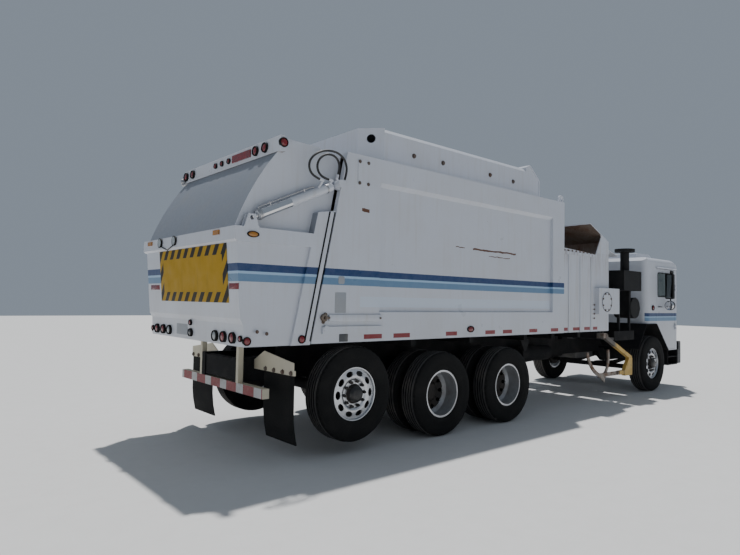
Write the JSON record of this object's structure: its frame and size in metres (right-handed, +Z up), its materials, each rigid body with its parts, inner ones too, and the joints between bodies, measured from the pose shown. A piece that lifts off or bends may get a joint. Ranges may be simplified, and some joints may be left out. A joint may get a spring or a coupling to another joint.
{
  "type": "side loading garbage truck",
  "caption": "Low cab refuse truck with a side loading hopper, folding grabber arm, roof tank cover, lifting tailgate and raised tag axle.",
  "frame": {"origin": "on the ground under the middle of the overall length and width", "axes": "+X forward, +Y to the driver's left, +Z up"},
  "size_m": [10.522, 2.814, 3.8818],
  "materials": {
    "white_paint": "gloss paint, a little dirty",
    "black_frame": "satin black paint, dusty",
    "worn_steel": "worn and rusty steel",
    "yellow_paint": "worn yellow paint",
    "cream_steel": "cream paint",
    "glass": "clear, slightly green",
    "lamp_glass": "clear lens",
    "lamp_red": "red lens",
    "seat_cover": "dark woven cover",
    "black_plastic": "matt black",
    "black_rubber": "matt rubber",
    "grey_iron": "rough casting",
    "chrome": "polished rod",
    "tyre": "worn tread, dusty walls",
    "aluminium": "polished",
    "white_steel": "white enamel, dusty"
  },
  "bodies": {
    "chassis": {"frame_rails": "black_frame", "drive_tandem": "black_frame", "tag_axle": "black_frame", "front_axle": "black_frame", "body_shell": "white_paint", "roof_hood": "white_paint", "hopper": "white_paint", "cab_shell": "white_paint", "windscreen": "glass", "cab_seats": "seat_cover", "dashboard": "black_plastic", "front_bumper": "white_paint", "head_lamps": "lamp_glass", "engine": "grey_iron", "air_cleaner": "black_plastic", "air_tanks": "black_frame", "rear_bumper": "cream_steel", "mud_flaps": "black_rubber", "reach_sleeve": "black_frame", "wheel_arches": "black_rubber"},
    "packer": {"packer": "worn_steel"},
    "tailgate": {"tailgate_shell": "white_paint", "tail_lamps": "lamp_red"},
    "reach_beam": {"reach_beam": "worn_steel"},
    "boom": {"boom": "yellow_paint"},
    "hand": {"hand": "worn_steel"},
    "finger_front": {"finger_front": "worn_steel"},
    "finger_rear": {"finger_rear": "worn_steel"},
    "knuckle_left": {"knuckle_left": "black_frame"},
    "door_left": {"door_left": "white_paint", "door_glass_left": "glass", "mirror_left": "black_plastic"},
    "barrel_left": {"cylinder_barrel_left": "white_paint", "hose_outer_left": "black_rubber", "hose_inner_left": "black_rubber"},
    "rod_left": {"cylinder_rod_left": "chrome"},
    "wheels_front_left": {"tyre_front_left": "tyre", "wheel_front_left": "aluminium"},
    "wheels_drive1_left": {"tyre_drive1_left": "tyre", "wheel_drive1_left": "white_steel"},
    "wheels_drive2_left": {"tyre_drive2_left": "tyre", "wheel_drive2_left": "white_steel"},
    "wheels_tag_left": {"tyre_tag_left": "tyre", "wheel_tag_left": "aluminium"},
    "knuckle_right": {"knuckle_right": "black_frame"},
    "door_right": {"door_right": "white_paint", "door_glass_right": "glass", "mirror_right": "black_plastic"},
    "barrel_right": {"cylinder_barrel_right": "white_paint", "hose_outer_right": "black_rubber", "hose_inner_right": "black_rubber"},
    "rod_right": {"cylinder_rod_right": "chrome"},
    "wheels_front_right": {"tyre_front_right": "tyre", "wheel_front_right": "aluminium"},
    "wheels_drive1_right": {"tyre_drive1_right": "tyre", "wheel_drive1_right": "white_steel"},
    "wheels_drive2_right": {"tyre_drive2_right": "tyre", "wheel_drive2_right": "white_steel"},
    "wheels_tag_right": {"tyre_tag_right": "tyre", "wheel_tag_right": "aluminium"}
  },
  "joints": [
    {"name": "tailgate_hinge", "type": "hinge", "parent": "chassis", "child": "tailgate", "pos_m": [-3.8975, 0, 3.43], "axis": [0, 1, 0], "range_deg": [0, 65]},
    {"name": "packer_slide", "type": "slide", "parent": "chassis", "child": "packer", "axis": [-1, 0, 0], "range_m": [0, 0.9]},
    {"name": "arm_reach", "type": "slide", "parent": "chassis", "child": "reach_beam", "axis": [0, -1, 0], "range_m": [0, 1.2]},
    {"name": "arm_boom", "type": "hinge", "parent": "reach_beam", "child": "boom", "pos_m": [1.9825, -1.165, 1.135], "axis": [-1, 0, 0], "range_deg": [0, 120]},
    {"name": "arm_wrist", "type": "hinge", "parent": "boom", "child": "hand", "pos_m": [2.4125, -1.165, 0.45], "axis": [1, 0, 0], "range_deg": [0, 90]},
    {"name": "finger_front_grip", "type": "hinge", "parent": "hand", "child": "finger_front", "pos_m": [1.9925, -1.165, 0.45], "axis": [0, -1, 0], "range_deg": [0, 40]},
    {"name": "finger_rear_grip", "type": "hinge", "parent": "hand", "child": "finger_rear", "pos_m": [1.7725, -1.165, 0.45], "axis": [0, 1, 0], "range_deg": [0, 40]},
    {"name": "steer_left", "type": "hinge", "parent": "chassis", "child": "knuckle_left", "pos_m": [3.8525, 0.87, 0.54], "axis": [0, 0, 1], "range_deg": [-35, 35]},
    {"name": "door_left_hinge", "type": "hinge", "parent": "chassis", "child": "door_left", "pos_m": [4.9555, 1.19, 1.6], "axis": [0, 0, -1], "range_deg": [0, 70]},
    {"name": "barrel_left_tilt", "type": "hinge", "parent": "chassis", "child": "barrel_left", "pos_m": [-4.0375, 1.18, 2.92], "axis": [0, 1, 0], "range_deg": [0, 73.2]},
    {"name": "rod_left_slide", "type": "slide", "parent": "barrel_left", "child": "rod_left", "axis": [-0.9091, 0, -0.4165], "range_m": [0, 0.469]},
    {"name": "front_left_spin", "type": "hinge", "parent": "knuckle_left", "child": "wheels_front_left", "pos_m": [3.8525, 1.065, 0.54], "axis": [0, 1, 0], "continuous": true},
    {"name": "drive1_left_spin", "type": "hinge", "parent": "chassis", "child": "wheels_drive1_left", "pos_m": [-0.9675, 1.125, 0.525], "axis": [0, 1, 0], "continuous": true},
    {"name": "drive2_left_spin", "type": "hinge", "parent": "chassis", "child": "wheels_drive2_left", "pos_m": [-2.3375, 1.125, 0.525], "axis": [0, 1, 0], "continuous": true},
    {"name": "tag_left_spin", "type": "hinge", "parent": "chassis", "child": "wheels_tag_left", "pos_m": [-3.7275, 1.088, 0.645], "axis": [0, 1, 0], "continuous": true},
    {"name": "steer_right", "type": "hinge", "parent": "chassis", "child": "knuckle_right", "pos_m": [3.8525, -0.87, 0.54], "axis": [0, 0, 1], "range_deg": [-35, 35]},
    {"name": "door_right_hinge", "type": "hinge", "parent": "chassis", "child": "door_right", "pos_m": [4.9555, -1.19, 1.6], "axis": [0, 0, 1], "range_deg": [0, 70]},
    {"name": "barrel_right_tilt", "type": "hinge", "parent": "chassis", "child": "barrel_right", "pos_m": [-4.0375, -1.18, 2.92], "axis": [0, 1, 0], "range_deg": [0, 73.2]},
    {"name": "rod_right_slide", "type": "slide", "parent": "barrel_right", "child": "rod_right", "axis": [-0.9091, 0, -0.4165], "range_m": [0, 0.469]},
    {"name": "front_right_spin", "type": "hinge", "parent": "knuckle_right", "child": "wheels_front_right", "pos_m": [3.8525, -1.065, 0.54], "axis": [0, 1, 0], "continuous": true},
    {"name": "drive1_right_spin", "type": "hinge", "parent": "chassis", "child": "wheels_drive1_right", "pos_m": [-0.9675, -1.125, 0.525], "axis": [0, 1, 0], "continuous": true},
    {"name": "drive2_right_spin", "type": "hinge", "parent": "chassis", "child": "wheels_drive2_right", "pos_m": [-2.3375, -1.125, 0.525], "axis": [0, 1, 0], "continuous": true},
    {"name": "tag_right_spin", "type": "hinge", "parent": "chassis", "child": "wheels_tag_right", "pos_m": [-3.7275, -1.088, 0.645], "axis": [0, 1, 0], "continuous": true}
  ],
  "couplings": [
    {"joint": "finger_rear_grip", "follows": "finger_front_grip", "ratio": 1},
    {"joint": "barrel_left_tilt", "follows": "tailgate_hinge", "ratio": 1.08},
    {"joint": "rod_left_slide", "follows": "tailgate_hinge", "m_per_rad": 0.405},
    {"joint": "barrel_right_tilt", "follows": "tailgate_hinge", "ratio": 1.08},
    {"joint": "rod_right_slide", "follows": "tailgate_hinge", "m_per_rad": 0.405},
    {"joint": "steer_right", "follows": "steer_left", "ratio": 1}
  ]
}
